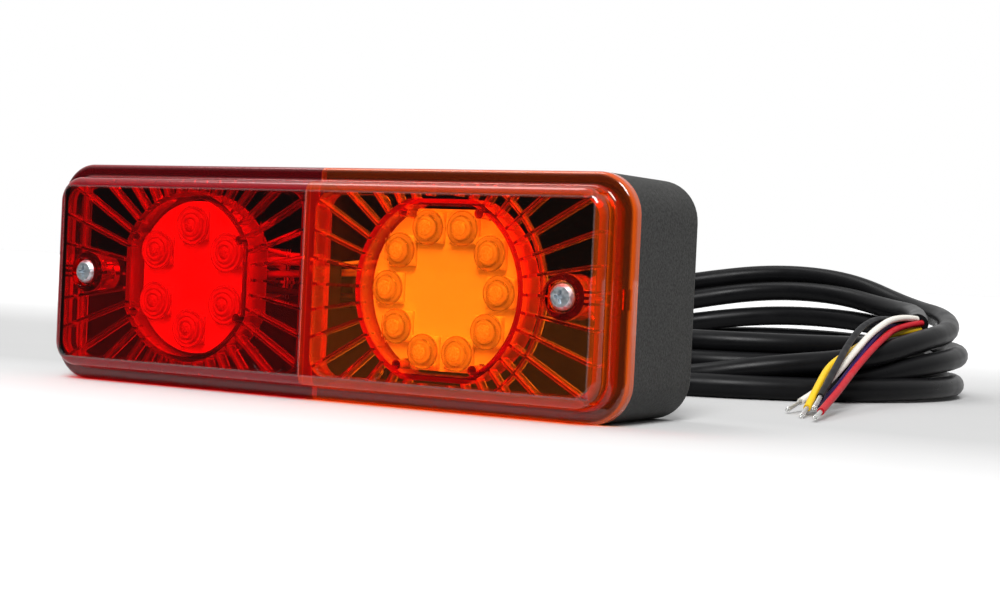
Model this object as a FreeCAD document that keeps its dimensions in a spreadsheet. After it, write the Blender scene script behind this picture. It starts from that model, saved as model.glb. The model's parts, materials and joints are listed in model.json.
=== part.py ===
import FreeCAD, Part
import os
import re
from math import cos, sin, radians, tan, pi
from FreeCAD import Vector, Rotation, Placement

# Two-chamber LED tail light for a trailer, with its lead in a loose coil behind it.
# X runs along the lamp (red chamber at -X, amber at +X), -Y is the lit front, Z is up.
# The lamp stands on its long lower edge, with the origin under the middle of its box.
# Depths in the sheet are measured from the joint between the lenses and the housing;
# "joint" in the expressions below is that plane's place along Y.

SIZES = {
    # whole lamp
    "lamp_length": 171.0,
    "lamp_height": 57.0,
    "corner_radius": 10.0,
    "lens_depth": 9.5,
    "housing_depth": 32.0,
    "stud_reach": 16.0,
    # lens mouldings
    "flange_thickness": 3.2,
    "raised_length": 162.0,
    "raised_height": 49.6,
    "raised_corner": 6.5,
    "face_thickness": 2.5,
    "side_wall": 2.5,
    "seam_wall": 2.0,
    "seam_gap": 0.06,
    "hollow_corner": 4.5,
    "face_rounding": 2.6,
    "lip_rounding": 1.5,
    "foot_rounding": 1.2,
    # light chambers: the ring round each board and the ribs moulded inside a lens; past the
    # amber ring there is also an arc across the ribs, and at the red end a straight rib
    "chamber_offset": 37.7,
    "red_ring_radius": 21.6,
    "red_ring_flat": 19.7,
    "amber_ring_radius": 23.0,
    "amber_ring_flat": 21.2,
    "ring_wall": 1.4,
    "ring_depth": 8.0,
    "rib_thickness": 0.7,
    "rib_depth": 3.4,
    "rib_reach": 62.0,
    "arc_radius": 27.5,
    "arc_wall": 0.6,
    "arc_depth": 2.6,
    "arc_start": 12.0,
    "end_rib": 72.4,
    "peg_radius": 1.2,
    "peg_inset": 2.2,
    "peg_depth": 8.2,
    "channel_gap": 2.0,
    "channel_wall": 0.6,
    "channel_depth": 5.0,
    "notch_height": 4.6,
    "notch_reach": 2.2,
    "notch_sink": 0.8,
    # lens screws
    "screw_offset": 71.0,
    "well_radius": 3.8,
    "well_depth": 2.7,
    "boss_radius": 5.3,
    "boss_foot": 0.1,
    "screw_hole": 1.8,
    "screw_radius": 1.45,
    "shank_length": 17.0,
    "pilot_depth": 19.0,
    "head_radius": 3.0,
    "head_height": 1.9,
    "crown_radius": 2.3,
    "crown_height": 0.9,
    "recess_depth": 1.2,
    "recess_width": 0.8,
    "seal_height": 0.8,
    "seal_overlap": 0.3,
    # housing
    "housing_wall": 3.4,
    "back_wall": 3.0,
    "inner_corner": 6.6,
    "back_rounding": 2.0,
    "groove_inset": 1.0,
    "groove_width": 1.4,
    "groove_depth": 1.2,
    "post_radius": 4.2,
    "divider_thickness": 2.0,
    "divider_gap": 0.4,
    "window_height": 12.0,
    # boards and what they carry
    "board_gap": 0.8,
    "board_thickness": 1.6,
    "board_front": 2.6,
    "peg_hole": 1.5,
    "led_width": 7.4,
    "led_height": 1.9,
    "amber_circle": 15.3,
    "amber_cap_radius": 4.2,
    "red_circle": 13.1,
    "red_cap_radius": 5.0,
    "cap_height": 2.2,
    "cap_step": 0.5,
    "resistor_length": 3.2,
    "resistor_width": 1.6,
    "resistor_height": 0.6,
    "driver_length": 6.2,
    "driver_width": 5.0,
    "driver_height": 1.6,
    "diode_length": 4.4,
    "diode_width": 2.7,
    "diode_height": 2.1,
    # fixing studs
    "stud_spacing": 100.0,
    "stud_radius": 2.5,
    "stud_neck": 3.0,
    "stud_clearance": 0.1,
    "stud_head_flats": 8.0,
    "stud_head_height": 3.5,
    "stud_seal_radius": 5.5,
    "stud_seal_height": 1.0,
    # lead: place of its grommet, and the parts on it
    "lead_offset": -30.0,
    "lead_level": 28.5,
    "lead_radius": 3.4,
    "lead_inside": 12.0,
    "grommet_radius": 7.5,
    "grommet_lip": 2.0,
    "grommet_neck": 5.2,
    "inner_lip_radius": 7.0,
    "inner_lip": 1.6,
    "sleeve_root": 6.2,
    "sleeve_length": 14.0,
    "sleeve_tip": 4.6,
    "tie_radius": 4.7,
    "tie_width": 2.6,
    "tie_place": 2.5,
    "tie_head": 4.4,
    "tie_lap": 0.6,
    "core_radius": 0.95,
    "fit_gap": 0.3,
    "strand_radius": 0.55,
    "strand_length": 8.0,
    "splice_radius": 1.6,
    "splice_length": 8.0,
    "splice_across": -14.0,
    "splice_behind": -13.5,
    "splice_level": 34.2,
    # coil of the lead on the floor behind the lamp
    "coil_across": 27.4,
    "coil_behind": 170.5,
    "coil_outer": 77.8,
    "coil_inner": 54.0,
    "coil_height": 42.0,
    "coil_middle": 28.0,
    "coil_tilt": 9.0,
    "coil_high_side": 112.0,
    "sheath_end": 169.0,
    "step_start": 80.0,
    "step_width": 28.0,
    "step_level": 14.0,
    # how far one moulded feature runs into the next, and a cutting tool past what it cuts
    "bite": 0.5,
    "margin": 1.0,
}
RIB_COUNT = 36
PEG_ANGLES = (60, 120, 240, 300)

doc = FreeCAD.newDocument("TrailerTailLight")
sheet = doc.addObject("Spreadsheet::Sheet", "Dimensions")
for row, (alias, number) in enumerate(SIZES.items(), start=1):
    sheet.set("A%d" % row, alias)
    sheet.set("B%d" % row, str(number))
    sheet.setAlias("B%d" % row, alias)
doc.recompute()

JOINT = "(lens_depth - (lens_depth + housing_depth + stud_reach) / 2)"
parts = []


def expression(text):
    """Turn sheet aliases, and the word joint, into what an expression can read."""
    text = text.replace("joint", JOINT)
    return re.sub(r"[a-z_]+", lambda word: "Dimensions." + word.group()
                  if word.group() in SIZES else word.group(), text)


def value(text):
    """The number that an expression comes to, in millimetres or degrees."""
    return float(sheet.evalExpression(expression(text)))


def bind(thing, **sizes):
    for name, text in sizes.items():
        thing.setExpression(name, expression(text))
    return thing


def place(thing, x="0", y="0", z="0", rotation=None):
    if rotation:
        thing.Placement = Placement(Vector(), rotation)
    for axis, text in zip("xyz", (x, y, z)):
        thing.setExpression(".Placement.Base." + axis, expression(text))
    return thing


def keep(thing, name):
    """Mark an object as a finished sub-part, which is written to a file of that name."""
    thing.Label = name
    parts.append(thing)
    return thing


# ---- plain solids and combinations -------------------------------------------------

ALONG_Y = Rotation(Vector(1, 0, 0), -90)


def block(x, y, z, length, depth, height):
    """A box from its low corner."""
    box = doc.addObject("Part::Box", "Block")
    bind(box, Length=length, Width=depth, Height=height)
    return place(box, x, y, z)


def rod(radius, length, x, y, z, rotation=ALONG_Y):
    """A cylinder that runs from its base point towards +Y."""
    cylinder = doc.addObject("Part::Cylinder", "Rod")
    bind(cylinder, Radius=radius, Height=length)
    return place(cylinder, x, y, z, rotation)


def hexagon(flats, length, x, y, z):
    prism = doc.addObject("Part::Prism", "Hexagon")
    prism.Polygon = 6
    bind(prism, Circumradius="(%s) / 2 / cos(30)" % flats, Height=length)
    return place(prism, x, y, z, ALONG_Y)


def cut(base, tool):
    result = doc.addObject("Part::Cut", "Cut")
    result.Base = base
    result.Tool = tool
    return result


def common(base, tool):
    result = doc.addObject("Part::Common", "Common")
    result.Base = base
    result.Tool = tool
    return result


def fuse(shapes):
    result = doc.addObject("Part::MultiFuse", "Fuse")
    result.Shapes = shapes
    return result


def group(shapes):
    """Several separate solids in one object."""
    result = doc.addObject("Part::Compound", "Group")
    result.Links = shapes
    return result


# ---- sketched solids ---------------------------------------------------------------

def origin_plane(body, role):
    return [feature for feature in body.Origin.OriginFeatures if feature.Role == role][0]


def front_sketch(body, depth="0", across="0", level="0"):
    """A sketch that faces the front, at a depth behind the joint and centred where told."""
    sketch = body.newObject("Sketcher::SketchObject", body.Name + "Sketch")
    sketch.AttachmentSupport = [(origin_plane(body, "XZ_Plane"), "")]
    sketch.MapMode = "FlatFace"
    sketch.setExpression(".AttachmentOffset.Base.x", expression(across))
    sketch.setExpression(".AttachmentOffset.Base.y", expression(level))
    sketch.setExpression(".AttachmentOffset.Base.z", expression("-(%s)" % depth))
    return sketch


def rounded_outline(sketch, left, right, low, high, radius):
    """Draw a rectangle with round corners, its four sides and radius bound to the sheet."""
    from Sketcher import Constraint
    x0, x1, z0, z1, r = [value(text) for text in (left, right, low, high, radius)]
    first = sketch.GeometryCount
    corners = [(x0 + r, z0 + r, 180), (x1 - r, z0 + r, 270), (x1 - r, z1 - r, 0), (x0 + r, z1 - r, 90)]
    ends = [((x0 + r, z0), (x1 - r, z0)), ((x1, z0 + r), (x1, z1 - r)),
            ((x1 - r, z1), (x0 + r, z1)), ((x0, z1 - r), (x0, z0 + r))]
    for start, end in ends:
        sketch.addGeometry(Part.LineSegment(Vector(*start, 0), Vector(*end, 0)), False)
    for x, z, angle in corners:
        circle = Part.Circle(Vector(x, z, 0), Vector(0, 0, 1), r)
        arc = Part.ArcOfCircle(circle, radians(angle), radians(angle + 90))
        sketch.addGeometry(arc, False)
    for side in range(4):
        line, arc, before = first + side, first + 4 + side, first + (side + 3) % 4
        sketch.addConstraint(Constraint("Tangent", before, 2, arc, 1))
        sketch.addConstraint(Constraint("Tangent", arc, 2, line, 1))
        sketch.addConstraint(Constraint("Vertical" if side % 2 else "Horizontal", line))
        if side:
            sketch.addConstraint(Constraint("Equal", first + 4, arc))
    measures = [(Constraint("Radius", first + 4, r), radius),
                (Constraint("DistanceY", -1, 1, first, 1, z0), low),
                (Constraint("DistanceX", -1, 1, first + 1, 1, x1), right),
                (Constraint("DistanceY", -1, 1, first + 2, 1, z1), high),
                (Constraint("DistanceX", -1, 1, first + 3, 1, x0), left)]
    for constraint, text in measures:
        index = sketch.addConstraint(constraint)
        sketch.setExpression("Constraints[%d]" % index, expression(text))
    return sketch


def centred_outline(sketch, length, height, radius):
    return rounded_outline(sketch, "-(%s) / 2" % length, "(%s) / 2" % length,
                           "(lamp_height - (%s)) / 2" % height,
                           "(lamp_height + (%s)) / 2" % height, radius)


def pad(body, sketch, length, backwards=False):
    feature = body.newObject("PartDesign::Pad", body.Name + "Pad")
    feature.Profile = sketch
    bind(feature, Length=length)
    feature.Reversed = backwards
    doc.recompute()
    return feature


def pocket(body, sketch, length, backwards):
    before = body.Shape.Volume
    feature = body.newObject("PartDesign::Pocket", body.Name + "Pocket")
    feature.Profile = sketch
    bind(feature, Length=length)
    feature.Reversed = not backwards
    doc.recompute()
    if not body.Shape.Volume < before:
        raise ValueError(body.Name + ": a pocket cuts nothing")
    return feature


def new_body(name):
    body = doc.addObject("PartDesign::Body", name)
    body.AllowCompound = True
    return body


def edges_where(feature, test):
    """Names of the edges whose every corner and middle pass a test of their point."""
    names = []
    for number, edge in enumerate(feature.Shape.Edges, start=1):
        points = [vertex.Point for vertex in edge.Vertexes] + [edge.valueAt(
            (edge.FirstParameter + edge.LastParameter) / 2)]
        if all(test(point) for point in points):
            names.append("Edge%d" % number)
    return names


def round_edges(body, feature, test, radius):
    fillet = body.newObject("PartDesign::Fillet", body.Name + "Fillet")
    fillet.Base = (feature, edges_where(feature, test))
    bind(fillet, Radius=radius)
    doc.recompute()
    return fillet


# ---- lenses ------------------------------------------------------------------------

MIDDLE = "lamp_height / 2"
NEAR = 0.01


def lens_shell():
    """Both lens halves in one: flange, raised face and the hollow behind each face."""
    body = new_body("LensShell")
    flange = centred_outline(front_sketch(body), "lamp_length", "lamp_height", "corner_radius")
    pad(body, flange, "flange_thickness")
    raised = centred_outline(front_sketch(body), "raised_length", "raised_height", "raised_corner")
    solid = pad(body, raised, "lens_depth")
    front, step = -value("lens_depth"), -value("flange_thickness")
    half_length = value("(raised_length + margin) / 2")
    half_height = value("(raised_height + margin) / 2")
    middle = value(MIDDLE)

    def inside_raised(point):
        return abs(point.x) < half_length and abs(point.z - middle) < half_height

    def at_step(point):
        return abs(point.y - step) < NEAR

    solid = round_edges(body, solid, lambda p: abs(p.y - front) < NEAR, "face_rounding")
    solid = round_edges(body, solid, lambda p: at_step(p) and not inside_raised(p), "lip_rounding")
    round_edges(body, solid, lambda p: at_step(p) and inside_raised(p), "foot_rounding")
    for side in (-1, 1):
        outer = "raised_length / 2 - side_wall"
        left, right = (outer, "seam_wall") if side < 0 else ("seam_wall", outer)
        sign = "-" if side < 0 else ""
        hollow = rounded_outline(front_sketch(body), "%s(%s)" % (sign, left), "%s(%s)" % (sign, right),
                                 "(lamp_height - raised_height) / 2 + side_wall",
                                 "(lamp_height + raised_height) / 2 - side_wall",
                                 "hollow_corner")
        pocket(body, hollow, "lens_depth - face_thickness", backwards=False)
    return body


def ring_profile(radius, flat, centre, upright, depth_from, depth):
    """A round plug with two flats: top and bottom, or left and right when upright is false."""
    plug = rod(radius, depth, centre, depth_from, MIDDLE)
    wide, tall = ("2 * (%s)" % radius, "2 * (%s)" % flat)
    if not upright:
        wide, tall = tall, wide
    bounds = block("%s - (%s) / 2" % (centre, wide), depth_from, "%s - (%s) / 2" % (MIDDLE, tall),
                   wide, depth, tall)
    return common(plug, bounds)


def peg_rods(radius, length, chamber, start):
    """One rod at each of a chamber's four pegs."""
    rods = []
    for angle in PEG_ANGLES:
        turned = angle if chamber["upright"] else angle + 90
        circle = "(%s_ring_radius - peg_inset)" % chamber["colour"]
        rods.append(rod(radius, length, "%s + %s * cos(%d)" % (chamber["centre"], circle, turned),
                        start, "%s + %s * sin(%d)" % (MIDDLE, circle, turned)))
    return rods


def ribs(chamber):
    """Radial ribs behind one face, from inside the ring to past the walls."""
    body = new_body("Ribs")
    sketch = front_sketch(body, "face_thickness - lens_depth + rib_depth", chamber["centre"], MIDDLE)
    rounded_outline(sketch, "red_ring_radius / 2", "rib_reach", "-rib_thickness / 2",
                    "rib_thickness / 2", "rib_thickness / 3")
    first = pad(body, sketch, "rib_depth + bite")
    pattern = body.newObject("PartDesign::PolarPattern", "RibsPattern")
    pattern.Originals = [first]
    pattern.Axis = (sketch, ["N_Axis"])
    pattern.Angle = 360
    pattern.Occurrences = RIB_COUNT
    body.Tip = pattern
    doc.recompute()
    return body


def hollow_block(chamber):
    """The room behind one face, a little oversize so that ribs run into the walls."""
    start = "seam_wall / 2" if chamber["side"] > 0 else "-(raised_length / 2 - side_wall / 2)"
    length = "raised_length / 2 - side_wall / 2 - seam_wall / 2"
    return block(start, "face_thickness - bite - lens_depth",
                 "(lamp_height - raised_height + side_wall) / 2",
                 length, "lens_depth", "raised_height - side_wall")


def lens_features(chamber, screw, face):
    """What is moulded inside one face: ring, ribs, arc or end rib, screw boss, pegs and channel."""
    right = chamber["side"] > 0
    centre, upright = chamber["centre"], chamber["upright"]
    radius, flat = chamber["colour"] + "_ring_radius", chamber["colour"] + "_ring_flat"
    room = hollow_block(chamber)
    outer = ring_profile(radius, flat, centre, upright, face + " - bite", "ring_depth + bite")
    inner = ring_profile(radius + " - ring_wall", flat + " - ring_wall", centre, upright,
                         face + " - margin", "ring_depth + 2 * margin")
    clear = rod(radius + " - ring_wall / 2", "lens_depth * 2", centre, "-lens_depth", MIDDLE)
    well = rod("boss_radius - bite", "lens_depth * 2", screw, "-lens_depth", MIDDLE)
    rib_set = cut(cut(common(ribs(chamber), room), clear), well)
    if right:
        arc = cut(rod("arc_radius + arc_wall", "arc_depth + bite", centre, face + " - bite", MIDDLE),
                  rod("arc_radius", "arc_depth * 2", centre, face + " - margin", MIDDLE))
        cross_rib = common(arc, block(centre + " + arc_start", "-lens_depth", "0", "lamp_length",
                                      "lens_depth * 2", "lamp_height"))
    else:
        cross_rib = block("-end_rib - arc_wall", face + " - bite", "0", "arc_wall",
                          "arc_depth + bite", "lamp_height")
    cross_rib = cut(common(cross_rib, room), well)
    boss = rod("boss_radius", "lens_depth - bite - boss_foot", screw, "bite - lens_depth", MIDDLE)
    channel = []
    for start in ("channel_gap / 2", "-channel_gap / 2 - channel_wall"):
        left = screw + " + boss_radius - bite" if right else "-raised_length / 2"
        strip = block(left, face + " - bite", "%s + %s" % (MIDDLE, start),
                      "raised_length / 2 - screw_offset - boss_radius + bite",
                      "channel_depth + bite", "channel_wall")
        channel.append(common(strip, room))
    return [cut(outer, inner), rib_set, cross_rib, boss] + channel + peg_rods(
        "peg_radius", "peg_depth", chamber, face + " - bite")


def lens(chamber, shell):
    right = chamber["side"] > 0
    screw = "screw_offset" if right else "-screw_offset"
    half = block("seam_gap / 2" if right else "-lamp_length", "-lens_depth * 2", "-lamp_height",
                 "lamp_length - seam_gap / 2", "lens_depth * 4", "lamp_height * 3")
    body = fuse([common(shell, half)] + lens_features(chamber, screw, "face_thickness - lens_depth"))
    recess = rod("well_radius", "well_depth + margin", screw, "-lens_depth - margin", MIDDLE)
    hole = rod("screw_hole", "lens_depth * 2", screw, "-lens_depth", MIDDLE)
    notch = block("lamp_length / 2 - notch_reach" if right else "-lamp_length",
                  "-flange_thickness - margin", "%s - notch_height / 2" % MIDDLE,
                  "lamp_length / 2 + notch_reach", "notch_sink + margin", "notch_height")
    finished = cut(body, group([recess, hole, notch]))
    place(finished, y="joint")
    return keep(finished, chamber["colour"] + "_lens")


# ---- housing and what closes it ----------------------------------------------------

def groove_outline(body):
    """The closed strip, all round the housing's rim, that the seal lies in."""
    sketch = front_sketch(body)
    for inset in ("groove_inset", "(groove_inset + groove_width)"):
        centred_outline(sketch, "lamp_length - 2 * " + inset, "lamp_height - 2 * " + inset,
                        "corner_radius - " + inset)
    return sketch


def housing():
    body = new_body("Casing")
    outline = centred_outline(front_sketch(body), "lamp_length", "lamp_height", "corner_radius")
    solid = pad(body, outline, "housing_depth", backwards=True)
    back = value("housing_depth")
    round_edges(body, solid, lambda p: abs(p.y - back) < NEAR, "back_rounding")
    hollow = centred_outline(front_sketch(body), "lamp_length - 2 * housing_wall",
                             "lamp_height - 2 * housing_wall", "inner_corner")
    pocket(body, hollow, "housing_depth - back_wall", backwards=True)
    pocket(body, groove_outline(body), "groove_depth", backwards=True)
    posts, holes = [], []
    for sign in ("-", ""):
        posts.append(rod("post_radius", "housing_depth - margin", sign + "screw_offset", "0", MIDDLE))
        holes.append(rod("screw_radius", "pilot_depth + margin", sign + "screw_offset", "-margin", MIDDLE))
        holes.append(rod("stud_neck + stud_clearance", "housing_depth", sign + "stud_spacing / 2",
                         "housing_depth / 2", MIDDLE))
    holes.append(rod("grommet_neck", "housing_depth", "lead_offset", "housing_depth / 2", "lead_level"))
    finished = cut(fuse([body] + posts), group(holes))
    return keep(place(finished, y="joint"), "housing")


def lens_seal():
    body = new_body("Seal")
    pad(body, groove_outline(body), "groove_depth", backwards=True)
    return keep(place(body, y="joint"), "lens_seal")


def chamber_divider():
    plate = block("-divider_thickness / 2", "joint + divider_gap", "housing_wall + divider_gap / 4",
                  "divider_thickness", "housing_depth - back_wall - 2 * divider_gap",
                  "lamp_height - 2 * housing_wall - divider_gap / 2")
    window = block("-divider_thickness", "joint + housing_depth / 5", MIDDLE + " - window_height / 2",
                   "divider_thickness * 2", "housing_depth / 4", "window_height")
    return keep(cut(plate, window), "chamber_divider")


def lens_screws():
    """Pan-head screws, flush with the face, each with a cross recess."""
    screws = []
    for sign in ("-", ""):
        x = sign + "screw_offset"
        top = "joint - lens_depth"
        dome = doc.addObject("Part::Cone", "Head")
        bind(dome, Radius1="crown_radius", Radius2="head_radius", Height="crown_height")
        place(dome, x, top, MIDDLE, ALONG_Y)
        rim = rod("head_radius", "head_height - crown_height", x, top + " + crown_height", MIDDLE)
        shank = rod("screw_radius", "shank_length", x, top + " + head_height", MIDDLE)
        slots = [block("%s - (%s) / 2" % (x, wide), top, "%s - (%s) / 2" % (MIDDLE, tall), wide,
                       "recess_depth", tall)
                 for wide, tall in (("recess_width", "head_radius"), ("head_radius", "recess_width"))]
        screws.append(cut(fuse([dome, rim, shank]), fuse(slots)))
    return keep(group(screws), "lens_screws")


def screw_seals():
    rings = []
    for sign in ("-", ""):
        x, y = sign + "screw_offset", "joint - lens_depth + head_height"
        rings.append(cut(rod("head_radius + seal_overlap", "seal_height", x, y, MIDDLE),
                         rod("screw_radius", "seal_height * 3", x, y + " - seal_height", MIDDLE)))
    return keep(group(rings), "screw_seals")


# ---- light boards ------------------------------------------------------------------

BOARD_Y = "joint - board_front"
CAP_STEPS, CAP_TAPER = 3, 0.24


def led_places(circle, count, first_angle):
    """Centres round the board, as expressions relative to the chamber's centre."""
    angles = [first_angle + step * 360 / count for step in range(count)]
    return [("%s * cos(%g)" % (circle, angle), "%s * sin(%g)" % (circle, angle)) for angle in angles]


def board(chamber):
    radius = "%s_ring_radius - ring_wall - board_gap" % chamber["colour"]
    flat = "%s_ring_flat - ring_wall - board_gap" % chamber["colour"]
    plate = ring_profile(radius, flat, chamber["centre"], chamber["upright"], BOARD_Y,
                         "board_thickness")
    holes = peg_rods("peg_hole", "board_thickness * 3", chamber, BOARD_Y + " - board_thickness")
    return keep(cut(plate, group(holes)), chamber["colour"] + "_board")


def led_bodies(chamber):
    boxes = [block("%s + %s - led_width / 2" % (chamber["centre"], x), BOARD_Y + " - led_height",
                   "%s + %s - led_width / 2" % (MIDDLE, z), "led_width", "led_height", "led_width")
             for x, z in chamber["leds"]]
    return keep(group(boxes), chamber["colour"] + "_leds")


def optic_caps(chamber):
    """Round clear caps over the light sources, each a stack of narrowing rings."""
    radius, back, caps = chamber["colour"] + "_cap_radius", BOARD_Y + " - led_height", []
    for x, z in chamber["leds"]:
        across, level = "%s + %s" % (chamber["centre"], x), "%s + %s" % (MIDDLE, z)
        stack = []
        for step in range(CAP_STEPS):
            narrow = "%s * %g" % (radius, 1 - CAP_TAPER * step)
            height = "(cap_height - cap_step * %d)" % (CAP_STEPS - 1 - step)
            stack.append(rod(narrow, height, across, "%s - %s" % (back, height), level))
        caps.append(fuse(stack))
    return keep(group(caps), chamber["colour"] + "_optics")


def surface_parts(chamber, places, size, name):
    """Small parts soldered to the back of a board; size is the start of their sizes' names."""
    length, width, height = size + "_length", size + "_width", size + "_height"
    boxes = [block("%s + %g - %s / 2" % (chamber["centre"], x, length), BOARD_Y + " + board_thickness",
                   "%s + %g - %s / 2" % (MIDDLE, z, width), length, height, width)
             for x, z in places]
    return keep(group(boxes), chamber["colour"] + "_" + name)


# ---- fixing studs ------------------------------------------------------------------

INNER_WALL = "joint + housing_depth - back_wall"


def rear_studs():
    """Each has a hexagon head, a plain neck through seal and wall, and a thinner shank outside."""
    studs = []
    for sign in ("-", ""):
        x, seat = sign + "stud_spacing / 2", INNER_WALL + " - stud_seal_height"
        head = hexagon("stud_head_flats", "stud_head_height", x, seat + " - stud_head_height", MIDDLE)
        neck = rod("stud_neck", "stud_seal_height + back_wall", x, seat, MIDDLE)
        shank = rod("stud_radius", "stud_reach", x, "joint + housing_depth", MIDDLE)
        studs.append(fuse([head, neck, shank]))
    return keep(group(studs), "rear_studs")


def stud_seals():
    """Washers of rubber under the studs' heads, inside the back wall."""
    rings = []
    for sign in ("-", ""):
        x, seat = sign + "stud_spacing / 2", INNER_WALL + " - stud_seal_height"
        rings.append(cut(rod("stud_seal_radius", "stud_seal_height", x, seat, MIDDLE),
                         rod("stud_neck", "stud_seal_height + 2 * margin", x, seat + " - margin",
                             MIDDLE)))
    return keep(group(rings), "stud_seals")


# ---- lead --------------------------------------------------------------------------

def arc_route(points):
    """Straight runs joined by the largest even arcs, and the smallest arc's radius."""
    points = [Vector(*point) for point in points]
    edges, last, radii = [], points[0], []
    for before, here, after in zip(points, points[1:], points[2:]):
        run = 0.45 * min((here - before).Length, (after - here).Length)
        back, forth = (before - here).normalize(), (after - here).normalize()
        half_turn = (pi - back.getAngle(forth)) / 2
        radius = run / tan(half_turn)
        centre = here + (back + forth).normalize() * (radius / cos(half_turn))
        middle = centre + (here - centre).normalize() * radius
        start, end = here + back * run, here + forth * run
        edges.append(Part.LineSegment(last, start).toShape())
        edges.append(Part.Arc(start, middle, end).toShape())
        radii.append(radius)
        last = end
    edges.append(Part.LineSegment(last, points[-1]).toShape())
    return Part.Wire(edges), min(radii)


def tube(name, points, radius):
    """A solid of round section along a route; its volume is compared with section x length."""
    path, tightest = arc_route(points)
    start, towards = Vector(*points[0]), Vector(*points[1]) - Vector(*points[0])
    section = Part.Wire(Part.makeCircle(radius, start, towards))
    solid = path.makePipeShell([section], True, False)
    ratio = solid.Volume / (pi * radius ** 2 * path.Length)
    print("%s: length %.1f, tightest radius %.1f, volume ratio %.4f" % (
        name, path.Length, tightest, ratio))
    if abs(ratio - 1) > 0.01:
        raise ValueError(name + ": the tube's volume is wrong")
    return solid


def solid_feature(name, shape):
    feature = doc.addObject("Part::Feature", "Feature")
    feature.Shape = shape
    return keep(feature, name)


def grommet():
    wall = "joint + housing_depth"
    x, z = "lead_offset", "lead_level"
    outer_lip = rod("grommet_radius", "grommet_lip", x, wall, z)
    neck = rod("grommet_neck", "back_wall", x, wall + " - back_wall", z)
    inner_lip = rod("inner_lip_radius", "inner_lip", x, wall + " - back_wall - inner_lip", z)
    sleeve = doc.addObject("Part::Cone", "Sleeve")
    bind(sleeve, Radius1="sleeve_root", Radius2="sleeve_tip", Height="sleeve_length")
    place(sleeve, x, wall + " + grommet_lip", z, ALONG_Y)
    bore = rod("lead_radius", "housing_depth * 2", x, "0", z)
    return keep(cut(fuse([outer_lip, neck, inner_lip, sleeve]), bore), "cable_grommet")


def cable_inside():
    return keep(rod("lead_radius", "lead_inside + back_wall + grommet_lip + sleeve_length",
                    "lead_offset", INNER_WALL + " - lead_inside", "lead_level"), "cable_inside")


def cable_tie():
    y = INNER_WALL + " - lead_inside + tie_place"
    strap = cut(rod("tie_radius", "tie_width", "lead_offset", y, "lead_level"),
                rod("lead_radius", "tie_width + 2 * margin", "lead_offset", y + " - margin",
                    "lead_level"))
    head = block("lead_offset - tie_head / 2", y + " - tie_lap", "lead_level + lead_radius + bite",
                 "tie_head", "tie_width + 2 * tie_lap", "tie_head")
    return keep(fuse([strap, head]), "cable_tie")


def cable_coil():
    """The outer shape of the coil: a ring, higher on its far side.

    The sheath ends in a step on its right, where the stripped cores cross the turns below.
    """
    turns = cut(rod("coil_outer", "coil_height", "coil_across", "coil_behind", "0", Rotation()),
                rod("coil_inner", "coil_height * 3", "coil_across", "coil_behind", "-coil_height",
                    Rotation()))
    high_side = radians(value("coil_high_side"))
    hinge = Vector(sin(high_side), -cos(high_side), 0)
    slope = Rotation(hinge, -value("coil_tilt"))
    slab = doc.addObject("Part::Box", "Above")
    bind(slab, Length="coil_outer * 4", Width="coil_outer * 4", Height="coil_outer")
    middle = Vector(value("coil_across"), value("coil_behind"), value("coil_middle"))
    corner = slope.multVec(Vector(-2 * value("coil_outer"), -2 * value("coil_outer"), 0))
    slab.Placement = Placement(middle + corner, slope)
    step = block("step_start", "sheath_end - coil_outer", "step_level", "step_width", "coil_outer",
                 "coil_height")
    return keep(cut(turns, fuse([slab, step])), "cable_coil")


def lead_tube():
    """From the grommet's tip down to the floor and up to the coil's outermost turn."""
    tip = value("joint + housing_depth + grommet_lip + sleeve_length")
    x, level, floor = value("lead_offset"), value("lead_level"), value("lead_radius")
    route = [(x, tip, level), (x, 56.0, level), (x - 3.4, 84.0, 13.0),
             (x - 10.5, 112.0, floor + 0.4), (x - 17.6, 138.5, floor + 0.1)]
    return solid_feature("cable", tube("cable", route, floor))


# The stripped cores lean over the coil and reach the floor in front of it.
CORE_ROUTES = {
    "white": [(90.4, 24.65), (88.4, 155.0, 25.6), (88.7, 132.5, 21.0), (90.4, 113.0, 15.5),
              (91.8, 96.5, 10.4), (92.1, 82.5, 6.0), (91.2, 69.5, 2.9)],
    "red": [(92.05, 23.45), (89.1, 154.5, 22.4), (91.1, 132.5, 18.3), (93.5, 112.5, 14.0),
            (95.6, 96.0, 10.0), (99.9, 72.5, 5.5), (104.4, 49.0, 2.2)],
    "yellow": [(91.4, 21.5), (88.6, 155.0, 20.2), (85.7, 137.5, 18.0), (88.2, 114.0, 15.1),
               (89.5, 95.0, 11.9), (93.8, 75.5, 7.6), (97.4, 58.0, 2.2)],
    "black": [(88.75, 23.45), (85.1, 152.0, 25.1), (86.5, 129.0, 22.5), (89.4, 109.5, 17.4),
              (92.8, 92.5, 12.7), (95.9, 77.5, 8.6), (97.7, 66.5, 4.8)],
    "violet": [(89.4, 21.5), (85.8, 156.5, 22.6), (88.2, 136.5, 19.6), (90.6, 117.0, 13.9),
               (92.5, 100.5, 8.9), (94.2, 85.5, 4.7), (94.5, 72.0, 2.0)],
}


def free_cores():
    for colour, route in CORE_ROUTES.items():
        name = "core_" + colour
        start = (route[0][0], value("sheath_end - fit_gap"), route[0][1])
        solid_feature(name, tube(name, [start] + route[1:], value("core_radius")))
        end = Vector(*route[-1])
        towards = (end - Vector(*route[-2])).normalize()
        drop = min(0.0, (value("strand_radius") + 0.1 - end.z) / value("strand_length"))
        towards.z = max(towards.z, drop)
        strand = Part.makeCylinder(value("strand_radius"), value("strand_length"), end, towards)
        solid_feature("strand_" + colour, strand)


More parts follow.
